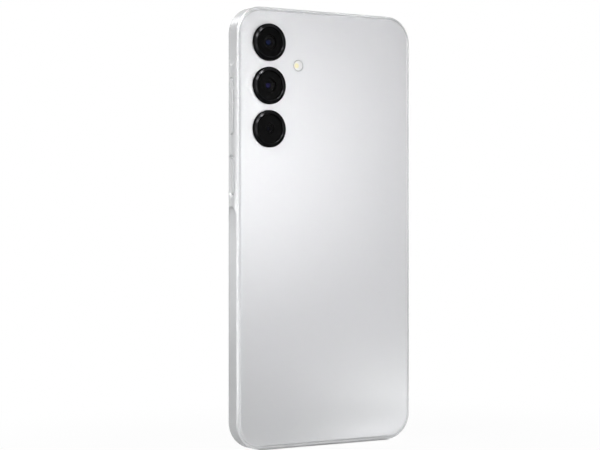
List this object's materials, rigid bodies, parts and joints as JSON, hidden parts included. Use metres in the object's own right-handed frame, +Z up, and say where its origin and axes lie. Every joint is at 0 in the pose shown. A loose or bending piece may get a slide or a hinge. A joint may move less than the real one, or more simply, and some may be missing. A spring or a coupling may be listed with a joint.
{
  "type": "smartphone",
  "caption": "Slab smartphone with a flat pale rear cover, a column of round rear cameras, a flash, a raised island with side keys, a SIM tray and a USB-C port.",
  "frame": {"origin": "middle of the lower edge, half way through the thickness", "axes": "+Z up along the phone's height, +Y out of the rear cover, -Y out of the screen, +X towards the side with the keys"},
  "size_m": [0.0788, 0.009, 0.1644],
  "materials": {
    "frame": "satin silver moulding",
    "cover": "smooth pale silver, soft sheen",
    "key": "satin silver moulding",
    "sensor": "satin silver coating",
    "screen_glass": "polished, black border printed behind",
    "panel": "dark display layer",
    "adhesive": "black foam adhesive",
    "chassis_alloy": "machined and anodised",
    "ring": "gloss black, polished bevel",
    "lens_glass": "polished, black border",
    "barrel": "matt black",
    "module": "dark nickel can",
    "flex": "amber film over copper",
    "diffuser": "translucent white",
    "phosphor": "yellow phosphor",
    "board": "green solder mask",
    "chip": "black moulded package",
    "shield": "tinned sheet",
    "steel": "plain steel",
    "contacts": "gold plating",
    "battery_wrap": "dark film wrap",
    "black_plastic": "fine matt grain",
    "membrane": "thin film membrane",
    "mesh": "black woven mesh",
    "tray": "satin silver",
    "seal": "matt black",
    "copper": "copper track"
  },
  "bodies": {
    "chassis": {"side_frame": "frame", "mid_plate": "chassis_alloy", "cover_glass": "screen_glass", "display_panel": "panel", "display_adhesive": "adhesive", "back_cover": "cover", "back_adhesive": "adhesive", "camera_ring_top": "ring", "camera_ring_middle": "ring", "camera_ring_bottom": "ring", "camera_glass_top": "lens_glass", "camera_glass_middle": "lens_glass", "camera_glass_bottom": "lens_glass", "ultrawide_camera": "module", "ultrawide_lens": "barrel", "main_camera": "module", "macro_camera": "module", "macro_lens": "barrel", "camera_flexes": "flex", "flash_window": "diffuser", "flash_led": "phosphor", "main_board": "board", "board_chips": "chip", "board_shields": "shield", "sub_board": "board", "usb_tube": "steel", "usb_tongue": "black_plastic", "usb_contacts": "contacts", "battery": "battery_wrap", "battery_flex": "flex", "speaker_box": "black_plastic", "speaker_lid": "black_plastic", "speaker_magnet": "steel", "dust_meshes": "mesh", "earpiece": "steel", "front_camera": "barrel", "microphones": "shield", "vibration_can": "steel", "sim_socket": "shield", "top_bracket": "black_plastic", "bottom_bracket": "black_plastic", "bracket_screws": "steel", "interconnect_flex": "flex", "coax_lead": "seal", "display_flex": "flex", "key_bracket": "steel", "side_key_flex": "flex", "volume_domes": "shield", "power_dome": "shield", "nfc_antenna": "copper"},
    "volume_rocker": {"volume_key": "key"},
    "power_button": {"power_key": "key", "fingerprint_sensor": "sensor"},
    "tray_slider": {"sim_tray": "tray", "tray_seal": "seal"},
    "eject_pusher": {"eject_rod": "steel"},
    "eject_arm": {"eject_lever": "steel"},
    "focus_barrel": {"main_lens": "barrel"},
    "speaker_cone": {"speaker_diaphragm": "membrane"},
    "motor_rotor": {"vibration_rotor": "contacts"}
  },
  "joints": [
    {"name": "volume_rock", "type": "hinge", "parent": "chassis", "child": "volume_rocker", "pos_m": [0.03555, 0.00048, 0.1271], "axis": [0, 1, 0], "range_deg": [-1.3, 1.3], "stiffness_Nm_per_rad": 0.1, "deforming": ["volume_domes"]},
    {"name": "power_press", "type": "slide", "parent": "chassis", "child": "power_button", "axis": [-1, 0, 0], "range_m": [0, 0.00025], "stiffness_N_per_m": 2000, "deforming": ["power_dome"]},
    {"name": "tray_pull", "type": "slide", "parent": "chassis", "child": "tray_slider", "axis": [-1, 0, 0], "range_m": [0, 0.026]},
    {"name": "eject_push", "type": "slide", "parent": "chassis", "child": "eject_pusher", "axis": [1, 0, 0], "range_m": [0, 0.00115]},
    {"name": "eject_turn", "type": "hinge", "parent": "chassis", "child": "eject_arm", "pos_m": [-0.00905, 0.00048, 0.1312], "axis": [0, -1, 0], "range_deg": [0, 15]},
    {"name": "lens_focus", "type": "slide", "parent": "chassis", "child": "focus_barrel", "axis": [0, 1, 0], "range_m": [0, 0.00035], "stiffness_N_per_m": 100},
    {"name": "speaker_stroke", "type": "slide", "parent": "chassis", "child": "speaker_cone", "axis": [0, 1, 0], "range_m": [-0.0003, 0.0003], "stiffness_N_per_m": 500},
    {"name": "motor_spin", "type": "hinge", "parent": "chassis", "child": "motor_rotor", "pos_m": [-0.025, 0.00085, 0.0128], "axis": [0, 1, 0], "continuous": true}
  ],
  "couplings": [
    {"joint": "eject_turn", "follows": "eject_push", "rad_per_m": 224.7}
  ]
}
